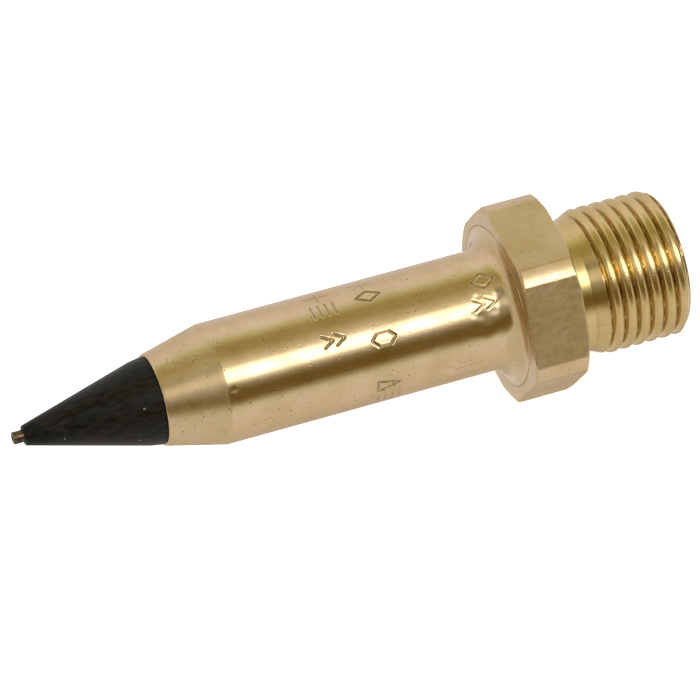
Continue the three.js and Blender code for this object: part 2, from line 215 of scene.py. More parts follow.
class Finish:
    """One procedural material, whose layers are added one call at a time."""

    def __init__(self, name, **shader):
        self.material = bpy.data.materials.new(name)
        self.material.use_nodes = True
        self.tree = self.material.node_tree
        self.shader = self.tree.nodes["Principled BSDF"]
        for socket, value in shader.items():
            self.shader.inputs[socket.replace("_", " ")].default_value = value
        self.position = self.add("ShaderNodeTexCoord").outputs["Object"]

    def add(self, kind, **settings):
        node = self.tree.nodes.new(kind)
        for key, value in settings.items():
            setattr(node, key, value)
        return node

    def feed(self, socket, value):
        if isinstance(value, bpy.types.NodeSocket):
            self.tree.links.new(value, socket)
        else:
            socket.default_value = value

    def math(self, operation, a, b=0.0):
        node = self.add("ShaderNodeMath", operation=operation)
        self.feed(node.inputs[0], a)
        self.feed(node.inputs[1], b)
        return node.outputs[0]

    def noise(self, size, stretch=(1, 1, 1), detail=3, roughness=0.5, seed=0.0):
        """Cloudy noise whose lumps are about size mm across, longer along an axis by its stretch."""
        mapping = self.add("ShaderNodeMapping")
        self.feed(mapping.inputs["Vector"], self.position)
        mapping.inputs["Scale"].default_value = [1 / MM / size / s for s in stretch]
        mapping.inputs["Location"].default_value = [seed, seed * 0.7, seed * 1.3]
        node = self.add("ShaderNodeTexNoise")
        node.inputs["Scale"].default_value = 1
        node.inputs["Detail"].default_value = detail
        node.inputs["Roughness"].default_value = roughness
        self.feed(node.inputs["Vector"], mapping.outputs[0])
        return node.outputs[0]

    def lines(self, size, seed=0.0):
        """Lathe lines about size mm wide: rings in step with the axis and the radius at once."""
        split = self.add("ShaderNodeSeparateXYZ")
        self.feed(split.inputs[0], self.position)
        squares = [self.math("MULTIPLY", axis, axis) for axis in split.outputs[1:3]]
        radius = self.math("SQRT", self.math("ADD", *squares))
        node = self.add("ShaderNodeTexNoise", noise_dimensions="1D")
        node.inputs["Scale"].default_value = 1 / MM / size
        node.inputs["Detail"].default_value = 3
        self.feed(node.inputs["W"], self.math("ADD", self.math("ADD", split.outputs[0], radius), seed))
        return node.outputs[0]

    def specks(self, spacing, reach, seed=0.0):
        """Round specks, one in each cell of about spacing mm, where reach is their share of the cell."""
        mapping = self.add("ShaderNodeMapping")
        self.feed(mapping.inputs["Vector"], self.position)
        mapping.inputs["Scale"].default_value = [1 / MM / spacing] * 3
        mapping.inputs["Location"].default_value = [seed, seed * 0.7, seed * 1.3]
        node = self.add("ShaderNodeTexVoronoi")
        node.inputs["Scale"].default_value = 1
        self.feed(node.inputs["Vector"], mapping.outputs[0])
        return self.window(node.outputs["Distance"], reach, reach * 0.4)

    def window(self, value, low, high):
        """0 at low and 1 at high, clamped, in either direction."""
        node = self.add("ShaderNodeMapRange", clamp=True)
        self.feed(node.inputs["Value"], value)
        node.inputs["From Min"].default_value = low
        node.inputs["From Max"].default_value = high
        return node.outputs["Result"]

    def attribute(self, name):
        return self.add("ShaderNodeAttribute", attribute_name=name).outputs["Fac"]

    def mix(self, share, a, b):
        node = self.add("ShaderNodeMix", data_type="RGBA")
        self.feed(node.inputs[0], share)
        for socket, value in ((node.inputs[6], a), (node.inputs[7], b)):
            self.feed(socket, value if isinstance(value, bpy.types.NodeSocket) else (*value, 1))
        return node.outputs[2]

    def tinted(self, under, share, strength, colour):
        """The colour laid over the one under it, at the share times the strength."""
        return self.mix(self.math("MULTIPLY", share, strength), under, colour)

    def colour(self, value):
        self.feed(self.shader.inputs["Base Color"], value)

    def roughness(self, value, low, high):
        """Roughness between low and high, following a value between 0.25 and 0.75."""
        node = self.add("ShaderNodeMapRange", clamp=True)
        self.feed(node.inputs["Value"], value)
        settings = {"From Min": 0.25, "From Max": 0.75, "To Min": low, "To Max": high}
        for socket, number in settings.items():
            node.inputs[socket].default_value = number
        self.feed(self.shader.inputs["Roughness"], node.outputs["Result"])

    def bump(self, *layers):
        """Relief from (height, depth in mm) layers, one on top of the other."""
        last = None
        for height, depth in layers:
            node = self.add("ShaderNodeBump")
            node.inputs["Strength"].default_value = 1
            node.inputs["Distance"].default_value = depth * MM
            self.feed(node.inputs["Height"], height)
            if last is not None:
                self.feed(node.inputs["Normal"], last)
            last = node.outputs["Normal"]
        self.feed(self.shader.inputs["Normal"], last)


# ---- Finishes -------------------------------------------------------------------------

BRASS = (0.575, 0.43, 0.245)
BRASS_WARM = (0.50, 0.365, 0.175)
BRASS_DULL = (0.40, 0.29, 0.13)
# Dark stain of the specks, also used for the darker punched marks and the painted shade in the thread's
# roots.
BRASS_STAIN_AND_SHADE = (0.11, 0.07, 0.03)
# The thread's brass is yellower than the rest as a painted reflection of brass on brass between its
# flanks.
BRASS_THREAD_REFLECTION_TINT = ((0.57, 0.43, 0.19), (0.50, 0.36, 0.135))  # the thread's yellower shades
METAL_WEAR = (0.08, 0.06, 0.045)


def brass(name, rough, streaks, streak_depth, streak_tint=0.1, shades=(BRASS, BRASS_WARM), pitted=0.85):
    """Machined brass: soft blotches of tarnish, tool marks, specks, darker punched marks and painted
    shade in the thread's roots.
    """
    finish = Finish(name, Metallic=1.0)
    blotches = finish.noise(2.2, detail=4, seed=3)
    tint = finish.mix(finish.window(blotches, 0.35, 0.7), *shades)
    patches = finish.noise(0.7, detail=5, roughness=0.65, seed=11)
    tint = finish.tinted(tint, finish.window(patches, 0.56, 0.8), 0.4, BRASS_DULL)
    lines = streaks(finish)
    tint = finish.tinted(tint, finish.window(lines, 0.5, 0.75), streak_tint, BRASS_DULL)
    crowd = finish.window(finish.noise(1.6, detail=3, seed=21), 0.38, 0.58)
    pits = finish.math("MULTIPLY", finish.specks(0.34, 0.19, seed=2), crowd)
    pits = finish.math("MAXIMUM", pits, finish.specks(0.8, 0.1, seed=17))
    tint = finish.tinted(tint, pits, pitted, BRASS_STAIN_AND_SHADE)
    # Darker inside the punched marks, and painted shade in the thread's roots.
    tint = finish.tinted(tint, finish.attribute("darkening_and_root_shade"), 0.7, BRASS_STAIN_AND_SHADE)
    finish.colour(tint)
    finish.roughness(finish.noise(0.5, detail=5, roughness=0.6, seed=9), *rough)
    fine = finish.noise(0.06, detail=2, seed=13)
    finish.bump((lines, streak_depth), (fine, 0.0012), (finish.math("MULTIPLY", pits, -1.0), 0.006))
    return finish.material


def lathe_lines(finish):
    return finish.lines(0.07)


def bar_streaks(finish):
    """Drawing lines along the bar, as on the hexagon's flats."""
    return finish.noise(0.06, stretch=(90, 1, 1), detail=3, roughness=0.5, seed=5)


BODY_FINISHES = [
    brass("brass_turned", (0.10, 0.18), lathe_lines, 0.0008, 0.05),
    brass("brass_brushed", (0.30, 0.42), bar_streaks, 0.010, 0.35, pitted=0.35),
    brass("brass_thread", (0.14, 0.24), lathe_lines, 0.0014, 0.1, BRASS_THREAD_REFLECTION_TINT, 0.5),
    brass("brass_bore", (0.28, 0.42), lathe_lines, 0.003, 0.2),
    brass("brass_face", (0.24, 0.36), lathe_lines, 0.003, 0.15, pitted=0.4),
    brass("brass_nose", (0.24, 0.34), lathe_lines, 0.0015, 0.1),
]


def black_tip():
    """Blackened tip: streaks along the cone, a soft sheen, and pale dust."""
    finish = Finish("black_tip", Metallic=0.0, IOR=1.46, Specular_IOR_Level=0.14)
    streaks = finish.noise(0.22, stretch=(14, 1, 1), detail=4, seed=4)
    cloud = finish.noise(1.3, detail=4, seed=8)
    tint = finish.mix(finish.window(streaks, 0.35, 0.7), (0.003, 0.0028, 0.0018), (0.018, 0.017, 0.009))
    tint = finish.tinted(tint, finish.window(cloud, 0.5, 0.75), 0.5, (0.016, 0.008, 0.010))
    dust = finish.math("MULTIPLY", finish.specks(0.8, 0.13, seed=6), finish.window(cloud, 0.44, 0.52))
    tint = finish.tinted(tint, dust, 0.8, (0.42, 0.38, 0.28))
    finish.colour(tint)
    finish.roughness(streaks, 0.30, 0.5)
    finish.bump((streaks, 0.006), (finish.noise(0.07, detail=3, seed=15), 0.003), (dust, 0.01))
    return finish.material


def bronze_tube():
    """Drawn bronze tube, browned by heat, with lines along its length."""
    finish = Finish("bronze_tube", Metallic=1.0)
    lines = finish.noise(0.05, stretch=(30, 1, 1), detail=3, seed=2)
    heat = finish.noise(0.35, detail=4, seed=7)
    tint = finish.mix(finish.window(heat, 0.35, 0.65), (0.15, 0.105, 0.06), (0.05, 0.036, 0.022))
    tint = finish.tinted(tint, finish.window(lines, 0.5, 0.75), 0.5, (0.06, 0.04, 0.025))
    finish.colour(tint)
    finish.roughness(heat, 0.25, 0.45)
    finish.bump((lines, 0.003), (finish.noise(0.04, detail=2, seed=3), 0.002))
    return finish.material


def turned_metal(name, bright, dull, rough):
    """A turned or stamped metal: lathe lines, two shades in clouds, and worn specks."""
    finish = Finish(name, Metallic=1.0)
    lines = finish.lines(0.06, seed=len(name) * 0.01)
    cloud = finish.noise(0.9, detail=4, roughness=0.6, seed=len(name))
    tint = finish.mix(finish.window(cloud, 0.35, 0.65), bright, dull)
    tint = finish.tinted(tint, finish.window(lines, 0.52, 0.75), 0.3, dull)
    specks = finish.math("MULTIPLY", finish.specks(0.35, 0.11, seed=4), finish.window(cloud, 0.45, 0.6))
    tint = finish.tinted(tint, specks, 0.6, METAL_WEAR)
    finish.colour(tint)
    finish.roughness(cloud, *rough)
    finish.bump((lines, 0.002), (finish.noise(0.08, detail=3, seed=6), 0.0015), (specks, -0.004))
    return finish.material


def drawn_wire(name, bright, dull, rough):
    """Wire with fine lines and a mottled skin."""
    finish = Finish(name, Metallic=1.0)
    lines = finish.noise(0.05, stretch=(1, 4, 4), detail=3, seed=1)
    cloud = finish.noise(0.5, detail=4, roughness=0.6, seed=12)
    tint = finish.mix(finish.window(cloud, 0.35, 0.65), bright, dull)
    finish.colour(finish.tinted(tint, finish.window(lines, 0.5, 0.7), 0.4, dull))
    finish.roughness(cloud, *rough)
    finish.bump((lines, 0.002), (cloud, 0.003))
    return finish.material


def moulded_rubber():
    """Black rubber with a fine grain and paler rubbed places."""
    finish = Finish("rubber_seal_black", Metallic=0.0, IOR=1.5)
    grain = finish.noise(0.06, detail=4, seed=3)
    rubbed = finish.noise(0.6, detail=4, roughness=0.65, seed=10)
    worn = finish.window(rubbed, 0.45, 0.7)
    finish.colour(finish.mix(worn, (0.012, 0.012, 0.013), (0.035, 0.034, 0.033)))
    finish.roughness(rubbed, 0.5, 0.75)
    finish.bump((grain, 0.004), (rubbed, 0.004))
    return finish.material


BLACK_TIP = black_tip()
BRONZE_TUBE = bronze_tube()
INNER_BRASS = turned_metal("brass_inner", (0.62, 0.45, 0.22), (0.46, 0.32, 0.14), (0.16, 0.34))
COPPER = turned_metal("copper_soft", (0.60, 0.27, 0.15), (0.40, 0.17, 0.09), (0.28, 0.5))
STEEL = turned_metal("steel_turned", (0.56, 0.55, 0.53), (0.40, 0.39, 0.375), (0.18, 0.36))
SPRING_STEEL = drawn_wire("steel_spring", (0.48, 0.475, 0.47), (0.30, 0.295, 0.29), (0.2, 0.38))
BRONZE_WIRE = drawn_wire("bronze_wire", (0.44, 0.27, 0.12), (0.26, 0.16, 0.08), (0.28, 0.46))
RUBBER = moulded_rubber()


# ---- Body -----------------------------------------------------------------------------


def body_angles():
    """Angles round the body: fine at the hexagon's turned corners and even on its flats."""
    half = list(np.linspace(0, CORNER_ARC - 0.6, 5))
    half += [CORNER_ARC - 0.2, CORNER_ARC, CORNER_ARC + 0.2]
    half += list(np.linspace(CORNER_ARC + 0.6, 30, 31))
    sector = sorted({*half, *(-a for a in half if 0 < a < 30)})
    return np.array([HEX_TURN + corner + a for corner in range(0, 360, 60) for a in sector])


ANGLES = body_angles()


def hex_radius(angles):
    """The hexagonal bar: flats, and corners turned off to a circle."""
    from_corner = np.abs((angles - HEX_TURN + 30) % 60 - 30)
    flat = FLAT_RADIUS / np.cos(np.radians(30 - from_corner))
    return soft_min(flat, CORNER_RADIUS, 0.012)


def thread_drop(x, angles):
    """How far the helical thread lies below its crests, which are broad, with narrow roots."""
    turns = (x - THREAD_PHASE) / THREAD_PITCH + (angles - THREAD_PHASE_ANGLE) / 360
    return THREAD_DEPTH * (2 * np.abs(turns - np.round(turns))) ** THREAD_CREST


def thread_radius(x, angles):
    """The undercut behind the hexagon, then the thread up to the end chamfer."""
    lead_in = UNDERCUT_RADIUS + LEAD_IN_SLOPE * np.maximum(x - UNDERCUT_END, 0)
    radius = soft_min(THREAD_RADIUS - thread_drop(x, angles), lead_in, 0.02)
    chamfer = THREAD_RADIUS - END_CHAMFER + (INLET_END - x)
    return soft_min(radius, chamfer, 0.03)


def thread_root_shade(x, angles):
    """Painted shade in the thread's roots, from 0 to 1."""
    return THREAD_ROOT_SHADE * smoothstep(0.18, 0.38, thread_drop(x, angles)) * (x > UNDERCUT_END)


# Generic punched marks on the barrel, each as strokes in a unit box: along the axis, then round it.
HEXAGON = [[(0.5 + 0.5 * math.cos(t), 0.5 + 0.5 * math.sin(t)) for t in np.radians(range(0, 361, 60))]]
DIAMOND = [[(0, 0.5), (0.5, 0), (1, 0.5), (0.5, 1), (0, 0.5)]]
CHEVRONS = [[(0, 0.1), (0.4, 0.5), (0, 0.9)], [(0.5, 0.1), (0.9, 0.5), (0.5, 0.9)]]
LINES = [[(0.05, 0), (0.05, 1)], [(0.35, 0), (0.35, 1)], [(0.65, 0), (0.65, 1)], [(0.95, 0), (0.95, 1)]]
PLUS = [[(0.5, 0), (0.5, 1)], [(0, 0.5), (1, 0.5)]]
TRIANGLE = [[(0, 0.05), (0.95, 0.5), (0, 0.95), (0, 0.05)]]
STAR = [[(0.5, 0), (0.5, 1)], [(0.07, 0.25), (0.93, 0.75)], [(0.07, 0.75), (0.93, 0.25)]]
DASHES = [[(0, 0.3), (0.4, 0.3)], [(0.6, 0.3), (1, 0.3)], [(0.3, 0.75), (0.7, 0.75)]]

MARK_LENGTH = 1.62  # along the axis
MARK_WIDTH = 0.98  # round the barrel
MARK_STROKE = 0.085  # half of a stroke's width
MARK_DEPTH = 0.055
FIRST_ROW = -16.55
SECOND_ROW = -13.5
THIRD_ROW = -6.2
# shape, front station, angle of its middle, how deep it is struck
MARKS = [
    (CHEVRONS, FIRST_ROW, 60, 1.0),
    (LINES, FIRST_ROW, 92, 0.7),
    (PLUS, FIRST_ROW, 114, 0.5),
    (TRIANGLE, FIRST_ROW, 168, 0.8),
    (HEXAGON, FIRST_ROW, 215, 0.9),
    (HEXAGON, SECOND_ROW, 49, 1.0),
    (DIAMOND, SECOND_ROW, 95, 0.8),
    (STAR, SECOND_ROW, 114, 0.45),
    (TRIANGLE, SECOND_ROW, 2, 0.75),
    (LINES, SECOND_ROW, -20, 0.5),
    (DIAMOND, SECOND_ROW, 190, 0.8),
    (DASHES, THIRD_ROW - 2.1, 0, 0.3),
    (CHEVRONS, THIRD_ROW - 0.2, 56, 0.55),
    (DIAMOND, THIRD_ROW, 78, 0.5),
]


def mark_relief(x, angles):
    """How far the punched marks sink the barrel's skin, and how much darker their insides are, from 0 to
    1.
    """
    down = np.zeros(np.broadcast(x, angles).shape)
    mark_darkening = np.zeros_like(down)
    for strokes, front, middle, strength in MARKS:
        across = ((angles - middle + 180) % 360 - 180) * math.radians(1) * BARREL_RADIUS
        nearest = np.full_like(down, 9.0)
        for stroke in strokes:
            line = [(front + MARK_LENGTH * a, MARK_WIDTH * (b - 0.5)) for a, b in stroke]
            for (ax, ay), (bx, by) in zip(line[:-1], line[1:]):
                length = (bx - ax) ** 2 + (by - ay) ** 2
                share = np.clip(((x - ax) * (bx - ax) + (across - ay) * (by - ay)) / length, 0, 1)
                gap = np.hypot(x - ax - share * (bx - ax), across - ay - share * (by - ay))
                nearest = np.minimum(nearest, gap)
        cut = 1 - smoothstep(MARK_STROKE * 0.35, MARK_STROKE * 1.25, nearest)
        burr = np.exp(-(((nearest - MARK_STROKE * 1.6) / 0.05) ** 2))
        down = down + strength * (MARK_DEPTH * cut - 0.007 * burr)
        mark_darkening = np.maximum(mark_darkening, strength * cut)
    return down, mark_darkening


# station, angle, radius and depth of small knocks
KNOCKS = [
    (-22.9, 40, 0.30, 0.030),
    (-21.4, 10, 0.55, 0.010),
    (-9.4, 24, 0.35, 0.006),
    (-18.1, 150, 0.30, 0.018),
    (-11.0, 205, 0.35, 0.020),
    (-6.2, 300, 0.40, 0.022),
    (-20.6, 255, 0.30, 0.018),
    (-1.6, 57, 0.20, 0.030),
    (-3.6, 122, 0.18, 0.040),
    (-0.5, 242, 0.22, 0.035),
    (-5.9, 42, 1.10, 0.060),
]
KNOCKS += [
    (rng.uniform(-6.7, -4.8), rng.uniform(28, 68), rng.uniform(0.3, 0.55), rng.uniform(0.008, 0.022))
    for _ in range(12)
]


def knock_relief(x, angles, radius):
    """How far the knocks sink the outer skin."""
    down = 0
    for station, angle, size, depth in KNOCKS:
        across = ((angles - angle + 180) % 360 - 180) * math.radians(1) * radius
        down = down + depth * np.exp(-((x - station) ** 2 + across**2) / (size / 1.6) ** 2)
    return down


# How far apart the body's rows lie along the axis.
PLAIN_STEP = 0.14
MARKED_STEP = 0.055
THREAD_STEP = 0.042


def span_rows(start, end, step):
    """Stations from start up to, but not at, end."""
    return list(np.linspace(start, end, max(1, math.ceil(abs(end - start) / step)), endpoint=False))


def nose_rows():
    """The lip's rounded edge, the conical nose and the barrel up to the hexagon."""
    slope = (BARREL_RADIUS - LIP_RADIUS) / (NOSE_EDGE - LIP)
    lip_edge = [(0, 0.13), (0.015, 0.03), (0.05, 0)]
    rows = [(LIP + back, LIP_RADIUS - drop) for back, drop in lip_edge]
    cone = span_rows(LIP + 0.12, NOSE_EDGE - 0.06, PLAIN_STEP)
    rows += [(x, LIP_RADIUS + slope * (x - LIP)) for x in cone]
    rows += [(NOSE_EDGE - 0.03, BARREL_RADIUS - 0.012), (NOSE_EDGE + 0.02, BARREL_RADIUS - 0.004)]
    marks_end = SECOND_ROW + MARK_LENGTH + 0.25
    stations = span_rows(NOSE_EDGE + 0.07, FIRST_ROW - 0.25, PLAIN_STEP)
    stations += span_rows(FIRST_ROW - 0.25, marks_end, MARKED_STEP)
    stations += span_rows(marks_end, THIRD_ROW - 2.3, 0.16)
    stations += span_rows(THIRD_ROW - 2.3, HEX_FRONT - NECK_FILLET, 0.06)
    rows += [(x, BARREL_RADIUS) for x in stations]
    for turn in np.linspace(0, math.pi / 2, 30):
        x = HEX_FRONT - NECK_FILLET * (1 - math.sin(turn))
        rows.append((x, BARREL_RADIUS + NECK_FILLET * (1 - math.cos(turn))))
    return rows


def body_rows():
    """Every row of the body's skin with its finish, from the lip round to the bore's front end."""
    rows = []
    finishes = []

    def add(x, radius, finish):
        rows.append((np.broadcast_to(x, ANGLES.shape), np.broadcast_to(radius, ANGLES.shape)))
        finishes.append(np.broadcast_to(finish, ANGLES.shape))

    turned, brushed, thread, bore, face, nose = range(6)
    from_corner = np.abs((ANGLES - HEX_TURN + 30) % 60 - 30)
    bar = np.where(from_corner < CORNER_ARC - 0.1, turned, brushed)
    for x, radius in nose_rows():
        add(x, radius, nose if x < NOSE_EDGE - 0.05 else turned)
    for gap, sink in RING_SECTION:
        add(HEX_FRONT + sink, RING_RADIUS + gap, face)
    hexagon = hex_radius(ANGLES)
    edge = HEX_FACE_RADIUS + HEX_FACE_OFFSET * np.cos(np.radians(ANGLES - 30))
    edge = np.minimum(edge, hexagon - 0.03)
    front = HEX_FRONT + (hexagon - edge) * CHAMFER_SLOPE
    for share in (0.3, 0.6, 0.85, 1.0):
        add(HEX_FRONT, RING_RADIUS + 0.14 + (edge - RING_RADIUS - 0.14) * share, face)
    rear = -np.maximum(hexagon - HEX_REAR_FACE_RADIUS, 0) * CHAMFER_SLOPE
    add(front + 0.008, hexagon - 0.014, bar)
    add(front + 0.05, hexagon, bar)
    for share in np.linspace(0.04, 0.96, 28):
        add(front + (rear - front) * share, hexagon, bar)
    add(rear - 0.05, hexagon, bar)
    add(rear - 0.01, hexagon - 0.02, face)
    inner_edge = np.minimum(hexagon, HEX_REAR_FACE_RADIUS)
    add(rear * 0.5 - 0.002, inner_edge + (hexagon - inner_edge) * 0.5 - 0.03, face)
    for radius in (HEX_REAR_FACE_RADIUS - 0.3, 5.5, 5.1, UNDERCUT_RADIUS + SEAT_EDGE):
        add(0, radius, face)
    for turn in np.radians(np.linspace(22, 90, 4)):
        radius = UNDERCUT_RADIUS + SEAT_EDGE * (1 - math.sin(turn))
        add(SEAT_EDGE * (1 - math.cos(turn)), radius, thread)
    for x in span_rows(0.25, UNDERCUT_END - 0.05, 0.15):
        add(x, thread_radius(x, ANGLES), thread)
    for x in span_rows(UNDERCUT_END - 0.05, INLET_END - 0.03, THREAD_STEP):
        add(x, thread_radius(x, ANGLES), thread)
    add(INLET_END - 0.008, THREAD_RADIUS - END_CHAMFER - 0.01, thread)
    add(INLET_END, THREAD_RADIUS - END_CHAMFER - 0.05, face)
    for radius in (4.1, 3.8, CARTRIDGE_BORE[0] + 0.29):
        add(INLET_END, radius, face)
    for x, radius in bore_line():
        add(x, radius, bore)
    return rows, finishes


def bore_line():
    """The bore's outline from the inlet's mouth to the lip."""
    mouth = CARTRIDGE_BORE[0]
    line = [(INLET_END, mouth + MOUTH_CHAMFER), (INLET_END - MOUTH_CHAMFER, mouth)]
    steps = [CARTRIDGE_BORE, STRAINER_BORE, VALVE_BORE, FEED_BORE]
    for (radius, front), (next_radius, _) in zip(steps, [*steps[1:], (TIP_BORE_RADIUS, 0)]):
        line += [(front, radius), (front, next_radius)]
    line += [(LIP, TIP_BORE_RADIUS), (LIP, LIP_RADIUS - 0.3)]
    return filled([np.array(point) for point in line], 1.5)


def build_body():
    rows, finishes = body_rows()
    x = np.stack([row[0] for row in rows])
    radius = np.stack([row[1] for row in rows]).copy()
    angles = np.broadcast_to(ANGLES, x.shape)
    down, mark_darkening = mark_relief(x, angles)
    barrel = (x > NOSE_EDGE) & (x < HEX_FRONT - 0.25) & (radius > BARREL_RADIUS - 0.05)
    outside = radius > LIP_RADIUS
    # Darkening inside the punched marks, and painted shade in the thread's roots.
    darkening_and_root_shade = np.where(barrel, mark_darkening, 0) + np.where(x > UNDERCUT_END, thread_root_shade(x, angles), 0) * outside
    radius -= np.where(barrel, down, 0)
    radius -= np.where(outside & (x > NOSE_EDGE), knock_relief(x, angles, radius), 0)
    mesh = mesh_of_rows("nozzle_body_shell", ring_points(x, radius, angles), finishes)
    layer = mesh.attributes.new("darkening_and_root_shade", "FLOAT", "POINT")
    layer.data.foreach_set("value", np.clip(darkening_and_root_shade, 0, 1).astype(np.float32).ravel())
    tidy(mesh, 28)
    place(mesh, BODY, ["nozzle_body"], "body_brass", *BODY_FINISHES)


# ---- Tip ------------------------------------------------------------------------------

GAP = 0.03  # clearance between neighbouring pieces
TIP_BASE_RADIUS = 2.86
TIP_BAND = 0.87  # length of the less steep band next to the body
TIP_BAND_RADIUS = 2.72  # at the band's front end
TIP_END_RADIUS = 0.64
TUBE_RADIUS = 0.4
TUBE_BORE_RADIUS = 0.19


def build_tip():
    end, rear = span("tip_cone")
    base = LIP - GAP
    hole = TUBE_RADIUS + GAP
    ferrule_hole = outer_radius("orifice_ferrule") + GAP
    ferrule_front = span("orifice_ferrule")[0] - GAP
    outline = [
        (end, hole, 0.05),
        (ferrule_front, hole, 0),
        (ferrule_front, ferrule_hole, 0),
        (rear, ferrule_hole, 0.03),
        (rear, TIP_BORE_RADIUS - GAP, 0.05),
        (base, TIP_BORE_RADIUS - GAP, 0),
        (base, TIP_BASE_RADIUS, 0.03),
        (base - TIP_BAND, TIP_BAND_RADIUS, 0.15),
        (end, TIP_END_RADIUS, 0.1),
    ]
    place(revolve("tip_cone_black", outline, 192, 0.35), BODY, ["tip_cone"], "black_tip", BLACK_TIP)
    front, back = span("orifice_tube")
    tube = [
        (front, TUBE_BORE_RADIUS, 0.03),
        (back, TUBE_BORE_RADIUS, 0.02),
        (back, TUBE_RADIUS, 0.03),
        (front, TUBE_RADIUS, 0.06),
    ]
    place(revolve("orifice_tube_bronze", tube, 96, 0.3), BODY, ["orifice_tube"], "bronze", BRONZE_TUBE)


# ---- Inside pieces --------------------------------------------------------------------

LOCK_RING_BORE = 2.3
LOCK_SLOT_WIDTH = 0.9
LOCK_SLOT_DEPTH = 0.5
STRAINER_CORE = 1.35  # radii of the bore, the gauze's socket and the neck behind the rim
STRAINER_SOCKET = 1.83
STRAINER_NECK = 2.15
STRAINER_END = 0.7  # length of the rim, and of the cap's socket
GAUZE_INNER_RADIUS = 1.63
GAUZE_WIRE = 0.035
GAUZE_BARS = 48
GAUZE_SIDES = 5
SPRING_WIRE = 0.185
SPRING_TURNS = 5.5
SPRING_CROWDING = 0.55  # how much closer the end turns lie
CARRIED_OVER = {
    "orifice_ferrule": BRONZE_TUBE,
    "tip_seal": COPPER,
    "swirl_distributor": STEEL,
    "distributor_screw": INNER_BRASS,
    "valve_guide": INNER_BRASS,
    "spring_washer": STEEL,
    "valve_poppet": STEEL,
    "poppet_seal": RUBBER,
    "poppet_nut": STEEL,
    "valve_seat": INNER_BRASS,
    "seat_seal": COPPER,
    "strainer_gasket": COPPER,
    "strainer_support": STEEL,
}


def build_lock_ring():
    """The ring nut behind the strainer, with a screwdriver slot across its rear face."""
    front, rear = span("inlet_lock_ring")
    outer = outer_radius("inlet_lock_ring")
    inner = LOCK_RING_BORE
    angles = np.arange(360)

    def slotted(x, radius):
        across = np.abs(radius * np.cos(np.radians(angles)))
        wall = smoothstep(LOCK_SLOT_WIDTH / 2 - 0.05, LOCK_SLOT_WIDTH / 2 + 0.01, across)
        return ring_points(x - LOCK_SLOT_DEPTH * (1 - wall), radius, angles)

    rows = [slotted(rear, outer - 0.06)]
    rows += [slotted(rear, radius) for radius in np.linspace(outer - 0.12, inner + 0.1, 9)]
    rows += [slotted(rear, inner + 0.04), slotted(rear - 0.04, inner)]
    rows += [ring_points(x, inner, angles) for x in (rear - 0.6, front + 0.05)]
    rows += [ring_points(front, radius, angles) for radius in (inner + 0.05, outer - 0.05)]
    rows += [ring_points(x, outer, angles) for x in (front + 0.05, rear - 0.65)]
    rows.append(slotted(rear - 0.06, outer))
    mesh = tidy(mesh_of_rows("inlet_lock_ring_turned", np.stack(rows)))
    place(mesh, BODY, ["inlet_lock_ring"], "inner_brass", INNER_BRASS)


def build_strainer():
    """The strainer's turned ends, and its gauze of woven wires."""
    front, rear = span("strainer_flange")
    outer = outer_radius("strainer_flange")
    flange = [
        (front, STRAINER_SOCKET, 0.03),
        (rear - 0.3, STRAINER_SOCKET, 0),
        (rear - 0.3, STRAINER_CORE, 0.03),
        (rear, STRAINER_CORE + 0.3, 0.04),
        (rear, outer, 0.08),
        (rear - STRAINER_END, outer, 0.06),
        (rear - STRAINER_END, STRAINER_NECK, 0.04),
        (front, STRAINER_NECK, 0.05),
    ]
    mesh = revolve("strainer_flange_turned", flange, 128, 0.4)
    place(mesh, BODY, ["strainer_flange"], "inner_brass", INNER_BRASS)
    front, rear = span("strainer_cap")
    cap_radius = outer_radius("strainer_cap")
    floor = rear - STRAINER_END
    cap = [
        (floor - 0.4, 0.0, 0),
        (floor, 0.0, 0),
        (floor, STRAINER_SOCKET, 0.03),
        (rear, STRAINER_SOCKET, 0.03),
        (rear, cap_radius, 0.05),
        (floor - 0.2, cap_radius, 0.06),
        (front, cap_radius - 0.2, 0.05),
    ]
    mesh = revolve("strainer_cap_pressed", cap, 128, 0.4)
    place(mesh, BODY, ["strainer_cap"], "inner_brass", INNER_BRASS)
    build_gauze(*span("strainer_gauze"), outer_radius("strainer_gauze"))


def add_wire(verts, faces, path, radius, sides, closed=False):
    """Adds a round wire along a path that keeps clear of the axis."""
    ahead = np.roll(path, -1, 0) - np.roll(path, 1, 0)
    if not closed:
        ahead[0], ahead[-1] = path[1] - path[0], path[-1] - path[-2]
    ahead /= np.linalg.norm(ahead, axis=1)[:, None]
    outward = path * (0, 1, 1)
    outward /= np.linalg.norm(outward, axis=1)[:, None]
    side = np.cross(ahead, outward)
    outward = np.cross(side, ahead)
    first = len(verts)
    for turn in np.arange(sides) * 2 * math.pi / sides:
        verts.extend((path + radius * (math.cos(turn) * outward + math.sin(turn) * side)).tolist())
    count = len(path)
    for k in range(sides):
        low, high = first + k * count, first + (k + 1) % sides * count
        for i in range(count if closed else count - 1):
            j = (i + 1) % count
            faces.append((low + i, low + j, high + j, high + i))
    if not closed:
        faces.append([first + k * count for k in range(sides)])
        faces.append([first + k * count + count - 1 for k in reversed(range(sides))])


def build_spring():
    """The valve's spring, which the valve presses together from its rear end."""
    front, rear = span("valve_spring")
    share = np.linspace(0, 1, 200)
    eased = share - SPRING_CROWDING * np.sin(2 * math.pi * share) / (2 * math.pi)
    stations = front + SPRING_WIRE + (rear - front - 2 * SPRING_WIRE) * eased
    middle = outer_radius("valve_spring") - SPRING_WIRE
    verts, faces = [], []
    path = ring_points(stations, middle, 180 - 360 * SPRING_TURNS * share)
    add_wire(verts, faces, path, SPRING_WIRE, 12)
    mesh = bpy.data.meshes.new("valve_spring_coiled")
    mesh.from_pydata((np.array(verts) * MM).tolist(), [], faces)
    spring = place(tidy(mesh, 60), BODY, ["valve_spring"], "spring_steel", SPRING_STEEL)
    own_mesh(spring)


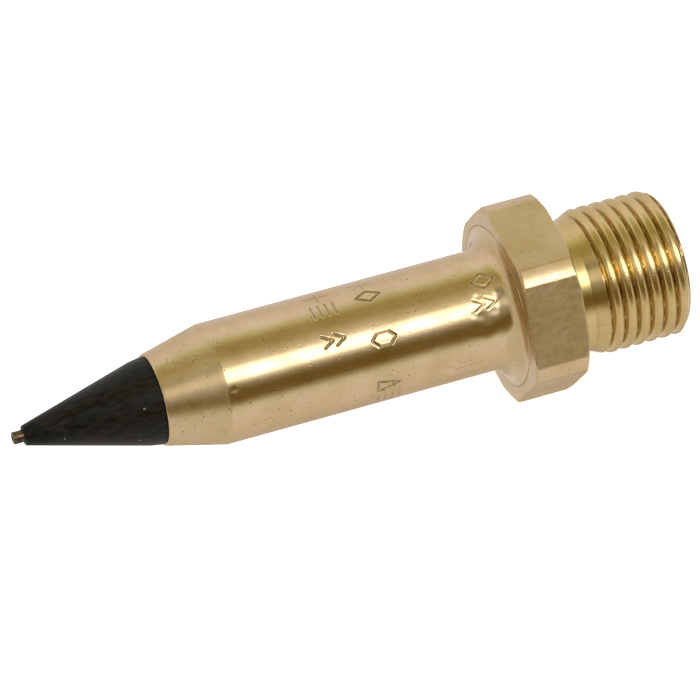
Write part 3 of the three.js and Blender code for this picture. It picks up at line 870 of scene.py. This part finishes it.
def build_gauze(front, rear, outer):
    """Woven wire cloth: straight-running bars and hoops that pass over and under one another."""
    middle = (GAUZE_INNER_RADIUS + outer) / 2
    swing = (outer - GAUZE_INNER_RADIUS) / 2 - GAUZE_WIRE
    hoops = round((rear - front - 2 * GAUZE_WIRE) / (2 * math.pi * middle / GAUZE_BARS))
    step = (rear - front - 2 * GAUZE_WIRE) / hoops
    verts, faces = [], []
    for bar in range(GAUZE_BARS):
        stations = np.linspace(front + GAUZE_WIRE, rear - GAUZE_WIRE, 4 * hoops + 1)
        phase = (stations - front - GAUZE_WIRE) / step * math.pi + bar * math.pi
        radius = middle + swing * np.cos(phase)
        path = ring_points(stations, radius, bar * 360 / GAUZE_BARS)
        add_wire(verts, faces, path, GAUZE_WIRE, GAUZE_SIDES)
    for hoop in range(hoops + 1):
        turns = np.arange(4 * GAUZE_BARS) / (4 * GAUZE_BARS)
        phase = turns * GAUZE_BARS * math.pi + (hoop + 1) * math.pi
        path = ring_points(front + GAUZE_WIRE + hoop * step, middle + swing * np.cos(phase), turns * 360)
        add_wire(verts, faces, path, GAUZE_WIRE, GAUZE_SIDES, closed=True)
    mesh = bpy.data.meshes.new("strainer_gauze_woven")
    mesh.from_pydata((np.array(verts) * MM).tolist(), [], faces)
    place(tidy(mesh, 80), BODY, ["strainer_gauze"], "bronze_gauze", BRONZE_WIRE)


def dress_carried_over():
    """Gives every CAD node that stays its own finish."""
    for node, finish in CARRIED_OVER.items():
        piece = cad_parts[node]
        piece.data.materials.clear()
        piece.data.materials.append(finish)


# ---- Stage ----------------------------------------------------------------------------

CAMERA_PLACE = (-107.10, -218.18, 265.62)
CAMERA_RIGHT = (0.93092, -0.36420, 0.02749)
CAMERA_UP = (0.25496, 0.70188, 0.66510)
CAMERA_LENS = 289.1

# The studio as the angle round the nozzle's axis, 0 at -Y and 90 overhead, with the light's colour.
STUDIO = [
    (-180, (0.94, 0.89, 0.90)),
    (-160, (0.88, 0.82, 0.82)),
    (-135, (0.72, 0.64, 0.58)),
    (-107, (0.67, 0.56, 0.46)),
    (-88, (0.80, 0.72, 0.62)),
    (-65, (0.97, 0.93, 0.92)),
    (-30, (1.02, 0.99, 1.03)),
    (-16, (1.05, 1.05, 1.10)),
    (-6, (0.95, 0.94, 0.92)),
    (0, (0.58, 0.53, 0.38)),
    (8, (0.25, 0.18, 0.06)),
    (25, (0.24, 0.175, 0.055)),
    (35, (0.44, 0.39, 0.29)),
    (43, (1.25, 1.28, 1.5)),
    (50, (4.4, 4.4, 4.5)),
    (64, (4.0, 3.9, 4.0)),
    (72, (1.25, 1.25, 1.3)),
    (84, (0.84, 0.80, 0.60)),
    (98, (0.56, 0.51, 0.28)),
    (114, (0.54, 0.49, 0.22)),
    (126, (0.82, 0.82, 0.55)),
    (137, (1.08, 1.08, 1.15)),
    (150, (1.12, 1.10, 1.20)),
    (165, (1.03, 0.98, 1.05)),
    (180, (0.95, 0.90, 0.92)),
]
STUDIO_PEAK = 5  # a ramp's colours stop at 1, so they are stored as shares of this
STUDIO_SPRAY_END = (0.85, 0.82, 0.78)  # straight along the nozzle's axis
STUDIO_INLET_END = (0.30, 0.26, 0.18)
STUDIO_TABLE = (0.92, 0.89, 0.88)  # the table on the spray end's side
STRIP_SHADE = (0.28, 0.28, 0.27)  # the overhead strip's share of light towards the spray end
BACKDROP = (1, 1, 1)
FLOOR_SIZE = 1.5  # metres from the middle to each edge
FLOOR_GLOW = 0.75


def build_camera():
    data = bpy.data.cameras.new("photo_camera")
    data.lens = CAMERA_LENS
    data.sensor_width = 36
    data.clip_start = 0.01
    data.clip_end = 10
    camera = bpy.data.objects.new("photo_camera", data)
    right, up = Vector(CAMERA_RIGHT), Vector(CAMERA_UP)
    turn = Matrix((right, up, right.cross(up))).transposed().to_4x4()
    camera.matrix_world = Matrix.Translation(Vector(CAMERA_PLACE) * MM) @ turn
    bpy.context.scene.collection.objects.link(camera)
    bpy.context.scene.camera = camera


def build_floor():
    """A plain pale sheet under the nozzle, seen by the camera only."""
    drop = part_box("nozzle_body")[0].z
    mesh = bpy.data.meshes.new("floor")
    turns = ((-1, -1), (1, -1), (1, 1), (-1, 1))
    corners = [(FLOOR_SIZE * x, FLOOR_SIZE * y, drop) for x, y in turns]
    mesh.from_pydata(corners, [], [(0, 1, 2, 3)])
    floor = bpy.data.objects.new("floor", mesh)
    bpy.context.scene.collection.objects.link(floor)
    finish = Finish("floor_white", Roughness=0.9)
    finish.colour(finish.mix(finish.noise(30), (0.9, 0.9, 0.9), (0.93, 0.93, 0.93)))
    finish.shader.inputs["Specular IOR Level"].default_value = 0.0
    finish.shader.inputs["Emission Color"].default_value = (1, 1, 1, 1)
    finish.shader.inputs["Emission Strength"].default_value = FLOOR_GLOW
    mesh.materials.append(finish.material)
    floor.visible_glossy = False
    floor.visible_diffuse = False
    floor.visible_shadow = False
    floor.visible_transmission = False


def build_studio():
    """Soft light from all round, as bands about the nozzle's axis, and plain white behind it."""
    world = bpy.data.worlds.new("studio")
    world.use_nodes = True
    bpy.context.scene.world = world
    nodes, links = world.node_tree.nodes, world.node_tree.links
    nodes.clear()

    def levels(colour):
        return [level / STUDIO_PEAK for level in colour]

    def feed(socket, value):
        if isinstance(value, bpy.types.NodeSocket):
            links.new(value, socket)
        else:
            socket.default_value = value

    def math_node(operation, a, b=0.0):
        node = nodes.new("ShaderNodeMath")
        node.operation = operation
        for socket, value in zip(node.inputs, (a, b)):
            feed(socket, value)
        return node.outputs[0]

    def window(value, low, high):
        node = nodes.new("ShaderNodeMapRange")
        node.interpolation_type = "SMOOTHSTEP"
        links.new(value, node.inputs["Value"])
        node.inputs["From Min"].default_value = low
        node.inputs["From Max"].default_value = high
        return node.outputs["Result"]

    def mix(share, a, b):
        node = nodes.new("ShaderNodeMix")
        node.data_type = "RGBA"
        links.new(share, node.inputs[0])
        for socket, value in ((node.inputs[6], a), (node.inputs[7], b)):
            feed(socket, value if isinstance(value, bpy.types.NodeSocket) else (*value, 1))
        return node.outputs[2]

    axes = nodes.new("ShaderNodeSeparateXYZ")
    links.new(nodes.new("ShaderNodeTexCoord").outputs["Generated"], axes.inputs[0])
    x, y, z = axes.outputs
    around = math_node("ARCTAN2", z, math_node("MULTIPLY", y, -1.0))
    share = math_node("ADD", math_node("DIVIDE", around, 2 * math.pi), 0.5)
    ramp = nodes.new("ShaderNodeValToRGB")
    links.new(share, ramp.inputs[0])
    stops = ramp.color_ramp.elements
    while len(stops) < len(STUDIO):
        stops.new(0.5)
    for stop, (angle, colour) in zip(stops, STUDIO):
        stop.position = (angle + 180) / 360
        stop.color = (*levels(colour), 1)
    dim = mix(window(x, -0.16, 0.12), STRIP_SHADE, (1, 1, 1))
    strip = nodes.new("ShaderNodeMix")
    strip.data_type = "RGBA"
    strip.blend_type = "MULTIPLY"
    near_strip = math_node("MULTIPLY", window(around, 0.55, 0.8), window(around, 1.6, 1.25))
    links.new(near_strip, strip.inputs[0])
    links.new(ramp.outputs[0], strip.inputs[6])
    links.new(dim, strip.inputs[7])
    table = math_node("MULTIPLY", window(x, 0.12, -0.2), window(z, 0.0, -0.3))
    lifted = mix(table, strip.outputs[2], levels(STUDIO_TABLE))
    inlet_side = math_node("MULTIPLY", window(x, 0.45, 0.75), window(around, 0.56, 0.40))
    lifted = mix(inlet_side, lifted, levels(STUDIO_TABLE))
    light = mix(window(x, -0.7, -0.97), lifted, levels(STUDIO_SPRAY_END))
    light = mix(window(x, 0.88, 0.98), light, levels(STUDIO_INLET_END))
    seen = nodes.new("ShaderNodeLightPath").outputs["Is Camera Ray"]
    background = nodes.new("ShaderNodeBackground")
    links.new(mix(seen, light, levels(BACKDROP)), background.inputs["Color"])
    background.inputs["Strength"].default_value = STUDIO_PEAK
    output = nodes.new("ShaderNodeOutputWorld")
    links.new(background.outputs[0], output.inputs[0])
    bpy.context.scene.view_settings.view_transform = "Standard"


build_body()
build_tip()
build_lock_ring()
build_spring()
build_strainer()
dress_carried_over()
build_camera()
build_floor()
build_studio()
